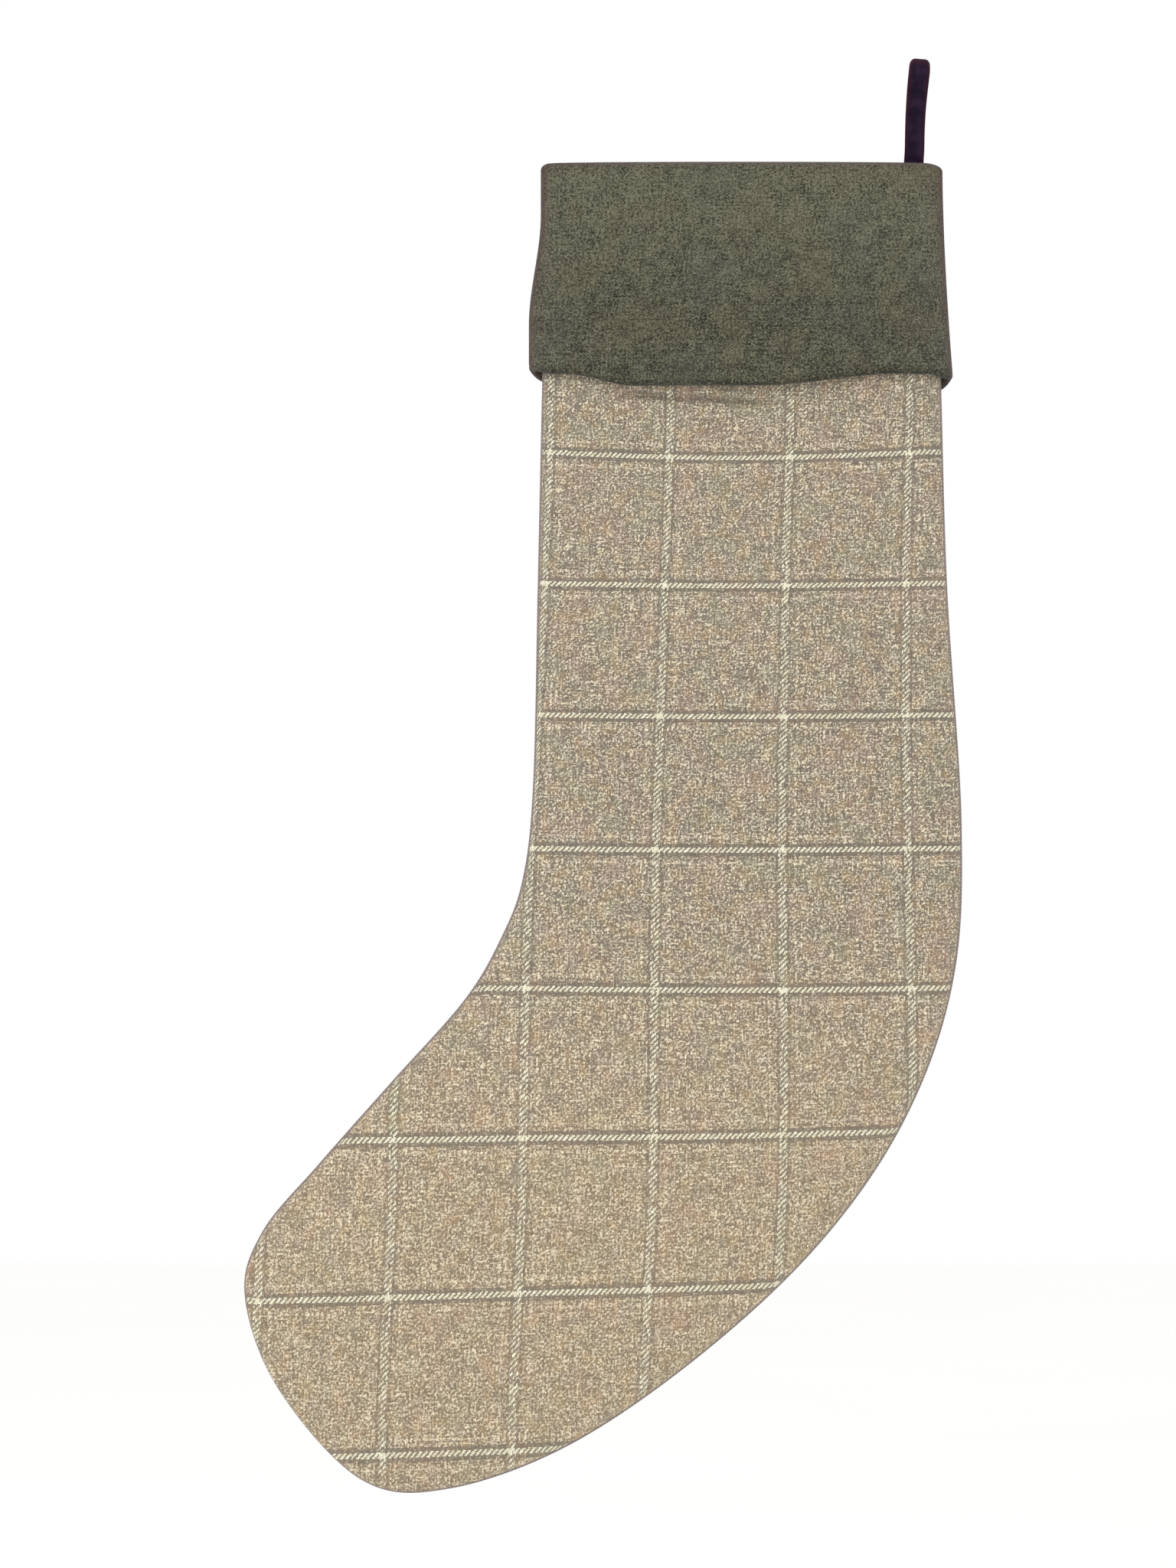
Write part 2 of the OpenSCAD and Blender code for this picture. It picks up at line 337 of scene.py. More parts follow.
class Finish:
    """Builds the node material of one kind of cloth or thread."""

    def __init__(self, name, **shader_values):
        self.material = bpy.data.materials.new(name)
        self.material.use_nodes = True
        self.tree = self.material.node_tree
        self.shader = self.tree.nodes["Principled BSDF"]
        for socket, value in shader_values.items():
            self.shader.inputs[socket.replace("_", " ")].default_value = value

    def node(self, kind, **settings):
        made = self.tree.nodes.new(kind)
        for key, value in settings.items():
            setattr(made, key, value)
        return made

    def feed(self, socket, value):
        if isinstance(value, Signal):
            self.tree.links.new(value.socket, socket)
        else:
            socket.default_value = value

    def math(self, operation, *values):
        made = self.node("ShaderNodeMath", operation=operation)
        for socket, value in zip(made.inputs, values):
            self.feed(socket, value)
        return Signal(self, made.outputs[0])

    def ranged(self, value, low, high):
        made = self.node("ShaderNodeMapRange", interpolation_type="SMOOTHSTEP")
        self.feed(made.inputs["Value"], value)
        made.inputs["From Min"].default_value = low
        made.inputs["From Max"].default_value = high
        return Signal(self, made.outputs["Result"])

    def split(self, socket):
        """The x, y and z of a vector."""
        made = self.node("ShaderNodeSeparateXYZ")
        self.tree.links.new(socket, made.inputs[0])
        return [Signal(self, output) for output in made.outputs]

    def attribute(self, name):
        """The x, y and z of a vector that the mesh's points carry."""
        return self.split(self.node("ShaderNodeAttribute", attribute_name=name).outputs["Vector"])

    def place(self):
        """The x, y and z of a point in its own object, in metres."""
        return self.split(self.node("ShaderNodeTexCoord").outputs["Object"])

    def number(self, name):
        """A number that the mesh's points carry."""
        return Signal(self, self.node("ShaderNodeAttribute", attribute_name=name).outputs["Fac"])

    def vector(self, x, y, z=0.0):
        made = self.node("ShaderNodeCombineXYZ")
        for socket, value in zip(made.inputs, (x, y, z)):
            self.feed(socket, value)
        return Signal(self, made.outputs[0])

    def clouds(self, x, y, size, detail=2.0):
        """Smooth noise from about 0 to 1, its blobs of the given size in x and y's unit."""
        made = self.node("ShaderNodeTexNoise", noise_dimensions="2D")
        made.inputs["Scale"].default_value = 1 / size
        made.inputs["Detail"].default_value = detail
        self.feed(made.inputs["Vector"], self.vector(x, y))
        return Signal(self, made.outputs["Fac"])

    def dice(self, x, y, seed):
        """A random number from 0 to 1 for each whole x and y."""
        made = self.node("ShaderNodeTexWhiteNoise", noise_dimensions="3D")
        self.feed(made.inputs["Vector"], self.vector(x, y, float(seed)))
        return Signal(self, made.outputs["Value"])

    def blend(self, share, low, high):
        """Colour between low and high."""
        made = self.node("ShaderNodeMix", data_type="RGBA")
        inputs = {socket.identifier: socket for socket in made.inputs}
        self.feed(inputs["Factor_Float"], share)
        self.feed(inputs["A_Color"], low)
        self.feed(inputs["B_Color"], high)
        return Signal(self, next(o for o in made.outputs if o.identifier == "Result_Color"))

    def pick(self, share, low, high):
        """Number between low and high."""
        return (1 - share) * low + share * high

    def finish(self, colour, roughness, height, depth):
        """Joins colour, roughness and relief, whose height of 1 stands depth metres proud."""
        self.feed(self.shader.inputs["Base Color"], colour)
        self.feed(self.shader.inputs["Roughness"], roughness)
        bump = self.node("ShaderNodeBump")
        bump.inputs["Strength"].default_value = 1.0
        bump.inputs["Distance"].default_value = depth
        self.feed(bump.inputs["Height"], height)
        self.tree.links.new(bump.outputs["Normal"], self.shader.inputs["Normal"])
        return self.material


# --- Finishes ---

# The numbers inside a finish are weights and limits, set against the photo, and offsets
# that keep one noise from repeating another.

WARPS = 96  # yarns in one repeat of the check, across and down
WEFTS = 108
CREAM_HALF = 2.2  # half width in yarns of a cream line that runs across
CREAM_HALF_DOWN = 2.7  # the same for one that runs down
BAND_HALF = 4.9  # half width in yarns of the dark band round the cream lines
PALE_AT = 9.8  # a faint pale pair of yarns on each side of the line
PALE_HALF = 1.0
YARN_WANDERS = 1.5  # how unevenly the tweed's yarns lie, in yarns
WOOL_YARN = 0.32  # the cuff's yarns in millimetres, and how many make one column of herringbone
WOOL_COLUMN = 14
WOOL_YARN_WANDERS = 1.6
FLECK = 0.7  # size of the cuff's pale flecks in millimetres, and the share of places without one
FLECK_RARITY = 0.985
COTTON_YARN = 0.35


def twill(finish, u, v, phase_u=None):
    """Two-over-two weave of yarns counted across and down: whether the yarn down is on top,
    a random number for the stretch of yarn that shows, and the height of the surface. The weave's
    diagonal follows phase_u where that is given."""
    warp, weft = u.floor(), v.floor()
    lean = u if phase_u is None else phase_u
    lean_warp = lean.floor()
    warp_on_top = (lean_warp + weft) % 4 < 1.5
    stretch = ((lean_warp + weft) / 4).floor()
    chance = finish.pick(warp_on_top, finish.dice(weft, stretch, 1), finish.dice(warp, stretch, 2))
    warp_arch = u.fraction().arch() * (((lean_warp + v) % 4) / 2).arch()
    weft_arch = v.fraction().arch() * (((lean + weft) % 4) / 2 - 1).arch()
    return warp_on_top, chance, finish.pick(warp_on_top, weft_arch, warp_arch)


def tweed_finish():
    """Heathered two-over-two tweed with a cream windowpane check."""
    f = Finish("tweed", Sheen_Weight=0.15, Sheen_Roughness=0.6, Specular_IOR_Level=0.15)
    across, down, crease = f.attribute("cloth")
    u, v = across * WARPS, down * WEFTS
    u = u + (f.clouds(u + 40, v, 3) - 0.5) * YARN_WANDERS
    v = v + (f.clouds(u, v + 70, 3) - 0.5) * YARN_WANDERS
    warp_on_top, chance, height = twill(f, u, v)

    def yarns_off(count, repeat):
        """Distance from the nearest line of the check, in yarns, the same across one yarn."""
        return (((count.floor() + 0.5) / repeat + 0.5).fraction() - 0.5).magnitude() * repeat

    off_u, off_v = yarns_off(u, WARPS), yarns_off(v, WEFTS)
    wool = f.clouds(u, v, 1.5, detail=3)
    warp_worn = f.clouds(u, v * 0.25 + 11, 1.6, detail=2).ease(0.36, 0.56)
    weft_worn = wool.ease(0.1, 0.28)
    line_across = (off_v < CREAM_HALF) * weft_worn
    line_down = (off_u < CREAM_HALF_DOWN) * warp_worn
    line = f.pick(warp_on_top, line_across, line_down)
    band = f.math("MAXIMUM", (off_u < BAND_HALF) * 0.55, off_v < BAND_HALF)
    pale_u = (off_u - PALE_AT).magnitude() < PALE_HALF
    pale_v = (off_v - PALE_AT).magnitude() < PALE_HALF
    pale = f.pick(warp_on_top, pale_v, pale_u * 0.7)

    slubs = f.clouds(u, v * 0.07, 1.2) + f.clouds(u * 0.07, v + 30, 1.2) - 1
    shade = f.pick(warp_on_top, 0.42, 0.52) + (chance - 0.5) * 0.5 + (wool - 0.5) * 2.0
    foot = down.ease(2.8, 5.8)
    # crease darkens the tweed in the crease under the cuff: painted shade
    shade = shade + slubs * 0.7 + pale * 0.24 - band * 0.22 + foot * 0.045 - crease * 0.22
    ground = f.blend(shade.ease(0.1, 0.64), linear(112, 102, 89), linear(156, 143, 123))
    ground = f.blend(shade.ease(0.45, 1.07), ground, linear(243, 231, 203))
    warmth = f.clouds(across, down, 0.13, detail=2)
    ground = f.blend(warmth.ease(0.5, 0.72) * 0.2, ground, linear(192, 156, 104))
    ground = f.blend((1 - warmth).ease(0.5, 0.72) * 0.2, ground, linear(136, 134, 130))
    blush = f.clouds(across + 5, down, 0.3, detail=2)
    ground = f.blend(blush.ease(0.52, 0.72) * 0.16, ground, linear(180, 136, 122))
    ground = f.blend((1 - blush).ease(0.52, 0.72) * 0.15, ground, linear(142, 148, 114))
    ground = f.blend(foot * 0.12, ground, linear(206, 172, 120))
    ground = f.blend(band * 0.4, ground, linear(114, 107, 100))
    cream = f.blend(chance, linear(216, 210, 178), linear(244, 241, 218))
    colour = f.blend(line, ground, cream)
    # Painted shade in the hollows between the yarns, darker where the weave sinks
    colour = f.blend((1 - height).ease(0.3, 1.2) * 0.18, colour, linear(96, 86, 74))
    return f.finish(colour, 0.82 + wool * 0.15, height + wool * 1.2, 0.16 * MM)


def herringbone_finish():
    """Milled olive wool in a fine herringbone, browner along folds and edges, with painted shade down the cuff and
    along its hem.
    """
    f = Finish("olive_wool", Sheen_Weight=0.2, Sheen_Roughness=0.5, Specular_IOR_Level=0.15)
    across, down, hem = f.attribute("cloth")
    fold = f.number("fold")
    u, v = across / WOOL_YARN, down / WOOL_YARN
    u = u + (f.clouds(u, v + 50, 4) - 0.5) * WOOL_YARN_WANDERS
    v = v + (f.clouds(u + 90, v, 4) - 0.5) * WOOL_YARN_WANDERS
    mirrored_u = (u % (2 * WOOL_COLUMN) - WOOL_COLUMN).magnitude()
    warp_on_top, chance, height = twill(f, u, v, mirrored_u)
    fuzz = f.clouds(across, down, 1.0, detail=4)
    streaks = f.clouds(across * 1.4, down * 0.1, 1) + f.clouds(across * 0.1, down * 1.4 + 20, 1) - 1
    shade = f.pick(warp_on_top, 0.71, 0.29) + (chance - 0.5) * 0.65 + (fuzz - 0.5) * 2.5
    # Painted shade: the wool darkens from 20 to 75 mm below the fold, and along the rounded hem
    shade = shade + streaks * 0.7 - down.ease(20, 75) * 0.2 - hem * 0.5
    mottle = f.clouds(across + 300, down, 7, detail=3)
    shade = shade + (mottle - 0.5) * 0.7
    olive = f.blend(shade.ease(-0.35, 1.35), linear(29, 28, 17), linear(124, 123, 101))
    tint = f.clouds(across, down + 200, 22, detail=2)
    olive = f.blend(tint.ease(0.5, 0.7) * 0.18, olive, linear(104, 96, 74))
    olive = f.blend((1 - tint).ease(0.5, 0.7) * 0.18, olive, linear(80, 85, 76))
    fleck = f.dice((across / FLECK).floor(), (down / FLECK).floor(), 5)
    olive = f.blend((fleck > FLECK_RARITY) * 0.5, olive, linear(140, 135, 112))
    brown = f.blend(fuzz.ease(0.3, 0.7), linear(36, 18, 15), linear(88, 58, 48))
    colour = f.blend(fold * (0.6 + fuzz * 0.8), olive, brown)
    return f.finish(colour, 0.85 + fuzz * 0.12, height * 0.7 + fuzz * 1.2, 0.2 * MM)


def cotton_finish():
    """Burgundy lining cotton in a fine plain weave."""
    f = Finish("lining_cotton", Sheen_Weight=0.05, Specular_IOR_Level=0.3)
    across, down, _ = f.attribute("cloth")
    u, v = across / COTTON_YARN, down / COTTON_YARN
    over = (u.floor() + v.floor()) % 2
    height = f.pick(over, u.fraction().arch(), v.fraction().arch())
    chance = f.pick(over, f.dice(u.floor(), 0.0, 3), f.dice(v.floor(), 0.0, 4))
    worn = f.clouds(across, down, 20, detail=3)
    colour = f.blend(chance * 0.6 + worn * 0.4, linear(66, 26, 32), linear(104, 46, 52))
    return f.finish(colour, 0.6 + worn * 0.2, height, 0.12 * MM)


def fleece_finish():
    """Off-white needled fleece."""
    f = Finish("fleece", Sheen_Weight=0.3, Specular_IOR_Level=0.1)
    across, down, _ = f.attribute("cloth")
    tufts = f.clouds(across, down, 2.2, detail=4)
    colour = f.blend(tufts, linear(205, 203, 194), linear(240, 238, 230))
    return f.finish(colour, 0.9 + tufts * 0.1, tufts, 0.5 * MM)


def velvet_finish():
    """Aubergine velvet ribbon whose edges are burgundy."""
    f = Finish("velvet", Sheen_Weight=0.35, Sheen_Roughness=0.35, Specular_IOR_Level=0.1)
    f.shader.inputs["Sheen Tint"].default_value = linear(120, 80, 120)
    across, along, top = f.attribute("cloth")
    pile = f.clouds(across, along, 0.5, detail=3)
    crush = f.clouds(across + 9, along, 5, detail=2)
    navy = f.blend(pile * 0.4 + crush.ease(0.3, 0.7) * 0.6, linear(15, 8, 24), linear(44, 29, 50))
    border = f.math("MAXIMUM", across.magnitude().ease(2.4, 4.4), top)
    colour = f.blend(border * (0.4 + pile * 0.6), navy, linear(54, 20, 30))
    return f.finish(colour, 0.75 + pile * 0.2, pile + crush, 0.25 * MM)


def cord_finish(name, dark, light, pitch):
    """Twisted yarn whose plies cross it every pitch millimetres."""
    f = Finish(name, Sheen_Weight=0.1, Specular_IOR_Level=0.2)
    around, along, _ = f.attribute("cloth")
    plies = (along / pitch + around).fraction().arch()
    fibres = f.clouds(around * 6, along * 3, 1, detail=3)
    colour = f.blend(plies * 0.6 + fibres * 0.4, dark, light)
    return f.finish(colour, 0.8 + fibres * 0.15, plies + fibres * 0.5, 0.15 * MM)


def stitch_finish():
    """Sewing thread on pieces that the CAD model already shapes."""
    f = Finish("stitch_thread", Specular_IOR_Level=0.3)
    x, y, z = f.place()
    plies = ((x + y + z) / (0.4 * MM)).fraction().arch()
    fibres = f.clouds(x / MM, (y + z) / MM, 0.2, detail=3)
    colour = f.blend(plies * 0.5 + fibres * 0.5, linear(36, 20, 36), linear(78, 54, 74))
    return f.finish(colour, 0.6 + fibres * 0.2, plies, 0.08 * MM)


def floor_finish():
    """Pale matt studio floor."""
    f = Finish("studio_floor", Specular_IOR_Level=0.2)
    x, y, _ = f.place()
    grain = f.clouds(x, y, 0.4, detail=4)
    colour = f.blend(grain, linear(251, 250, 248), linear(254, 254, 252))
    return f.finish(colour, 0.8 + grain * 0.1, grain, 0.2 * MM)


TWEED = tweed_finish()
OLIVE_WOOL = herringbone_finish()
COTTON = cotton_finish()
FLEECE = fleece_finish()
VELVET = velvet_finish()
SEAM_YARN = cord_finish("seam_yarn", linear(98, 86, 84), linear(158, 144, 138), pitch=1.6)
PIPING_YARN = cord_finish("piping_yarn", linear(60, 24, 30), linear(102, 48, 54), pitch=1.2)
STITCHES = stitch_finish()

# --- Body ---

BODY_ROWS = 150
BODY_COLUMNS = 52
ROUNDED_COLUMNS = 4  # columns at each side of the body that turn from the front to the seam
SEAM_SHOWS = 0.6 * MM  # how far the tweed stops short of the body's edge, where the seam shows
CREASE_KNOTS = (0.95, 1.2)  # span of the closely set rows round the crease under the cuff
CREASE_ROWS = 36
CREASE_DEPTH = 2.2 * MM
CREASE_HALF_W = 1.6 * MM
CREASE_BELOW_CUFF = 9.5 * MM  # below the cuff's nominal hem at CREASE_X
CREASE_X = -127 * MM
CREASE_SLOPE = 0.06  # how much the crease falls towards the heel
CREASE_STARTS_OVER = (-136 * MM, 16 * MM)
CREASE_ENDS_OVER = (-74 * MM, 14 * MM)
BODY_HILLS_H = 1.4 * MM  # soft unevenness of the body's cloth below the cuff
BODY_HILLS_W = 45 * MM
BODY_HILLS_OVER = (-20 * MM, 60 * MM)  # below the cuff's nominal hem
SEAM_ROWS = 500
SIDE_SEAM_HALF_W = 0.8 * MM
LINING_SEAM_HALF_W = 1 * MM
LINING_SEAM_MORE = 0.2 * MM  # how much more of the depth the lining's seam fills on each side

CHECK_TOP_Z = -140 * MM  # the check's distances down the leg are measured from here
CHECK_W = 52 * MM  # the check's repeat at the top of the leg, and how much wider it is in the foot
CHECK_WIDENS = 4.5 * MM
CHECK_WIDENS_OVER = (30 * MM, 300 * MM)
CHECK_H = 57.2 * MM  # the check's repeat down the leg, and its growth with each repeat in the foot
CHECK_GROWS = 2.7 * MM
CHECK_EVEN_ROWS = 2.2  # repeats down the leg before the growth starts
FIRST_LINE_Z = -165.6 * MM
# The cream line that runs down the heel side, and its swings as [sideways, start, length]
HEEL_LINE_X = -4.4 * MM
HEEL_LINE_SWINGS = MM * np.array([[-1.8, 0, 80], [3.3, 140, 180], [-5, 320, 150]])
# The check's lines across sag in the middle of the leg, and more so just under the cuff
LEG_TOE_X, LEG_W = -165 * MM, 170 * MM
LINE_SAG = 0.6 * MM
TOP_LINE_SAG = 2.6 * MM  # the rest of the sag at TOP_SAG_AT, which fades further down
TOP_SAG_AT, TOP_SAG_FADE = 25 * MM, 45 * MM
FOOT_LINE_SLOPE = 0.033  # in the foot they rise this much towards the heel, about FOOT_LINE_X
FOOT_LINE_X = -90 * MM
FOOT_LINE_OVER = (250 * MM, 140 * MM)


def fullness(down):
    """Half thickness of the body as a share of its half width."""
    return between(ramp(down, 0, FULLNESS_FADE), MOUTH_FULLNESS, BODY_FULLNESS)


def layer_grid(span, inside, short=0.0):
    """Points of the front half's layer a given depth inside the tweed's outer face."""
    t = np.concatenate([np.linspace(*span, BODY_ROWS + 1), np.linspace(*CREASE_KNOTS, CREASE_ROWS)])
    t = np.sort(t)
    angle = np.linspace(0, np.pi, BODY_COLUMNS + 1)
    toe_end, heel_end = edge(t)[:, None], edge(2 * TIP - t)[:, None]
    middle, half = (toe_end + heel_end) / 2, (heel_end - toe_end) / 2
    width = np.linalg.norm(half, axis=-1)
    depth = fullness(middle[..., 1]) * width
    rise = np.maximum(depth - inside, depth / (2 + inside / MM))
    kept = (width - np.minimum(inside + short, width / 2)) / width
    place = middle - half * (kept * np.cos(angle))[..., None]
    y = -EDGE_HALF - rise * np.sin(angle)
    return np.stack([place[..., 0], y, MOUTH_Z - place[..., 1]], -1)


def crease_share(points):
    """1 in the short crease that crosses the front of the leg just under the cuff, 0 off it."""
    x, z = points[..., 0], points[..., 2]
    crease_z = CUFF_HEM_Z - CREASE_BELOW_CUFF - CREASE_SLOPE * (x - CREASE_X)
    stretch = ramp(x, *CREASE_STARTS_OVER) * (1 - ramp(x, *CREASE_ENDS_OVER))
    return ridge(z - crease_z, CREASE_HALF_W) * stretch


def unrolled(points):
    """The grid's points, moved outwards to where the rounded ends of each row would lie flat."""
    flat = points * np.array([1, 0, 1])
    bulge = lengths_along(points, 1) - lengths_along(flat, 1)
    toe_start, heel_start = bulge[:, [ROUNDED_COLUMNS]], bulge[:, [-1 - ROUNDED_COLUMNS]]
    bulge = np.minimum(bulge - toe_start, 0) + np.maximum(bulge - heel_start, 0)
    chord = flat[:, [-1]] - flat[:, [0]]
    return points + bulge[..., None] * chord / np.linalg.norm(chord, axis=-1, keepdims=True)


def check_place(points):
    """Repeats of the check across and down, whole on its cream lines, and the crease's share, which sets the
    painted shade in the crease.
    """
    x, z = points[..., 0], points[..., 2]
    below = CHECK_TOP_Z - z
    spacing = CHECK_W + CHECK_WIDENS * ramp(below, *CHECK_WIDENS_OVER)
    swung = sum(swing * ramp(below, start, length) for swing, start, length in HEEL_LINE_SWINGS)
    across = (x - HEEL_LINE_X - swung) / spacing

    leg_share = np.clip((x - LEG_TOE_X) / LEG_W, 0, 1)
    top_sag = TOP_LINE_SAG * np.exp(-(below - TOP_SAG_AT) / TOP_SAG_FADE)
    sag = np.sin(np.pi * leg_share) * (top_sag + LINE_SAG)
    foot_slope = FOOT_LINE_SLOPE * (x - FOOT_LINE_X) * ramp(below, *FOOT_LINE_OVER)
    depth = FIRST_LINE_Z - (z + sag - foot_slope)
    grows_from = CHECK_EVEN_ROWS * CHECK_H
    extra = np.maximum(depth - grows_from, 0)
    grown = (np.sqrt(CHECK_H**2 + 2 * CHECK_GROWS * extra) - CHECK_H) / CHECK_GROWS
    down = np.minimum(depth, grows_from) / CHECK_H + grown
    return np.stack([across, down, crease_share(points)], -1)


def mirrored(points):
    """The same points on the back half."""
    return points * np.array([1, -1, 1])


def both_halves(name, span, inside, thickness, material, coordinates, short=0.0):
    """Front and back sheets of one of the body's layers."""
    pieces = []
    for half, side in (("front", 1), ("back", -1)):
        outer, inner = layer_grid(span, inside, short), layer_grid(span, inside + thickness, short)
        hills = crumple(outer, BODY_HILLS_H, BODY_HILLS_W, side)
        hills = hills * np.sin(np.linspace(0, np.pi, BODY_COLUMNS + 1))
        hills = hills * ramp(CUFF_HEM_Z - outer[..., 2], *BODY_HILLS_OVER)
        hills = hills - CREASE_DEPTH * crease_share(outer) * (side > 0)
        outer[..., 1] -= hills
        inner[..., 1] -= hills
        if side < 0:
            outer, inner = mirrored(outer), mirrored(inner)
        places = coordinates(unrolled(outer))
        if side < 0:
            places[..., 2] = 0
        piece = cloth(f"{name}_{half}_cloth", outer, inner, material, {"cloth": places}, side < 0)
        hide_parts(f"{name}_{half}")
        pieces.append(piece)
    return pieces


def millimetres(points):
    """Cloth coordinates straight from a piece's x and z, in millimetres."""
    return np.stack([points[..., 0], points[..., 2], 0 * points[..., 0]], -1) / MM


def seam_along_edge(name, inside, half_w, half_h, material):
    """A seam that follows the body's edge all round, a given depth inside it."""
    t = np.linspace(UNDER_FOLD, 2 * TIP - UNDER_FOLD, SEAM_ROWS)
    flat_path, flat_side = edge(t), outward(t)
    flat_path = flat_path - inside * flat_side
    path = np.stack([flat_path[:, 0], 0 * t, MOUTH_Z - flat_path[:, 1]], -1)
    side = np.stack([flat_side[:, 0], 0 * t, -flat_side[:, 1]], -1)
    rings = round_rings(path, side, DEPTHWARDS, half_w, half_h)
    around = np.linspace(0, 1, rings.shape[1], endpoint=False)
    piece = tube(name + "_roll", rings, material, {"cloth": tube_places(around, path)})
    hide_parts(name)
    return piece


tweed = both_halves("body", TWEED_SPAN, 0, TWEED_T, TWEED, check_place, SEAM_SHOWS)
interlining = both_halves(
    "interlining", INTERLINING_SPAN, INTERLINING_IN, INTERLINING_T, FLEECE, millimetres
)
lining = both_halves("lining", LINING_SPAN, LINING_IN, LINING_T, COTTON, millimetres)
side_seam = seam_along_edge("side_seam", SEAM_SHOWS, SIDE_SEAM_HALF_W, EDGE_HALF, SEAM_YARN)
lining_seam = seam_along_edge(
    "lining_seam",
    LINING_IN + LINING_T / 2,
    LINING_SEAM_HALF_W,
    EDGE_HALF + LINING_SEAM_MORE,
    PIPING_YARN,
)

for piece in tweed:
    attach(piece, "stocking")
for piece in interlining:
    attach(piece, "stocking")
for piece in lining:
    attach(piece, "stocking")
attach(side_seam, "stocking")
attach(lining_seam, "stocking")

# --- Cuff ---

CUFF_COLUMNS = 96
CUFF_ANGLE = np.linspace(0, np.pi, CUFF_COLUMNS + 1)
HEELWARD = (1 - np.cos(CUFF_ANGLE)) / 2  # 0 at the toe side, 1 at the heel side
MOUTH_MIDDLE, MOUTH_HALF_W = KNOTS[[0, -1], 0].mean(), np.ptp(KNOTS[[0, -1], 0]) / 2
MOUTH_DEPTH = MOUTH_FULLNESS * MOUTH_HALF_W

CREST_Z = MOUTH_Z - 0.7 * MM
HEEL_CREST_DROP = 0.8 * MM  # how much lower the crest is at the heel side
HEEL_CREST_W = 0.35  # radians of the mouth's ring over which it drops
ARCH_RISE = 3 * MM
ARCH_HALF_W = 4.1 * MM
ARCH_T = 1.3 * MM
HEM_R = 1.45 * MM
HEM_T = 1.1 * MM
HEM_TURN_UP = 5 * MM
ARCH_ROWS, WALL_ROWS, HEM_ROWS, TURN_UP_ROWS = 14, 60, 10, 4
# Height of the arch's foot on the outside, along the mouth
SPRING_Z = CREST_Z - HEEL_CREST_DROP * (1 - smooth((np.pi - CUFF_ANGLE) / HEEL_CREST_W)) - ARCH_RISE

FRONT_HEM_DROP = 0.9 * MM  # how far the front hem hangs below the cuff's nominal height
FRONT_HEM_SAG = 5.4 * MM  # and how much lower it is between the toe side and the middle
SAG_STARTS_OVER = (-156 * MM, 32 * MM)
SAG_ENDS_OVER = (-70 * MM, 62 * MM)
HEM_FLARE = 5 * MM  # about how far the hem stands out at the sides, to place its sag
HEEL_CORNER_DROP = 1.8 * MM
HEEL_CORNER_OVER = (5 * MM, 9 * MM)
TOE_CORNER_RISE = 1.6 * MM
TOE_CORNER_OVER = (161 * MM, 8 * MM)
BACK_HEM_DROP = (4.5 * MM, 5.5 * MM)  # how much lower the back hem is, at the toe and heel sides
BACK_CORNER_W = 0.4  # radians of the mouth's ring over which it drops
# How far the hem stands out from the ring round the mouth
TOE_FLARE, HEEL_FLARE, FRONT_FLARE = 5.2 * MM, 4.6 * MM, 6.5 * MM
TOE_FLARE_OVER = (0.22, 0.55)  # as shares of the cuff's height
HEEL_FLARE_POWER = 1.6
WAVE_H, WAVE_W = 2.4 * MM, 42 * MM  # soft waves of the cuff's wool
WAVE_SQUASH = 0.6  # width of the waves for each unit of their length down the cuff
WAVES_GROW = 1.4  # how fast they grow down the cuff
CUFF_CREASE_UP = 14 * MM  # above the cuff's nominal hem at CUFF_CREASE_X
CUFF_CREASE_X = -100 * MM
CUFF_CREASE_SLOPE = 0.03  # how much it rises towards the heel
CUFF_CREASE_HALF_W = 3.2 * MM
CUFF_CREASE_DEPTH = 0.9 * MM
CUFF_CREASE_STARTS_OVER = (-145 * MM, 30 * MM)
CUFF_CREASE_ENDS_OVER = (-75 * MM, 40 * MM)
THIN_AT_ARCH, THIN_AT_HEM = 0.08, 0.07  # shares of the wall where the wool is thinner
# Reach of the brown beside the fold and the side seams, and of the painted shade along the hem
FOLD_BROWN_W, SIDE_BROWN_W, HEM_DARK_W = 3.6 * MM, 4.4 * MM, 1.8 * MM
CUFF_SEAM_BROWN = 0.9  # share of brown on the side seams
CUFF_SEAM_PROUD = 0.12 * MM
PIPING_R = 0.5 * MM
PIPING_CORNERS = 8
PIPING_BELOW_ARCH = 0.3 * MM


def mouth_ring(out_x, out_y):
    """x and y of the front half's ring round the mouth, a distance outside the tweed."""
    x = MOUTH_MIDDLE - (MOUTH_HALF_W + out_x) * np.cos(CUFF_ANGLE)
    y = -CUFF_EDGE_HALF - (MOUTH_DEPTH + out_y) * np.sin(CUFF_ANGLE)
    return x, y


def front_hem_drop():
    """How far the front hem hangs below the cuff's nominal height, along the mouth."""
    x = mouth_ring(CUFF_OUTSIDE + HEM_FLARE, 0)[0]
    sag = FRONT_HEM_SAG * (ramp(x, *SAG_STARTS_OVER) - ramp(x, *SAG_ENDS_OVER))
    heel_corner = HEEL_CORNER_DROP * ramp(x, *HEEL_CORNER_OVER)
    toe_corner = TOE_CORNER_RISE * ramp(-x, *TOE_CORNER_OVER)
    return FRONT_HEM_DROP + sag + heel_corner - toe_corner


def back_hem_drop():
    """The same for the back hem, which meets the front one at the sides."""
    from_side = np.minimum(CUFF_ANGLE, np.pi - CUFF_ANGLE)
    corner = between(HEELWARD, front_hem_drop()[0], front_hem_drop()[-1])
    return corner + between(HEELWARD, *BACK_HEM_DROP) * ramp(from_side, 0, BACK_CORNER_W)


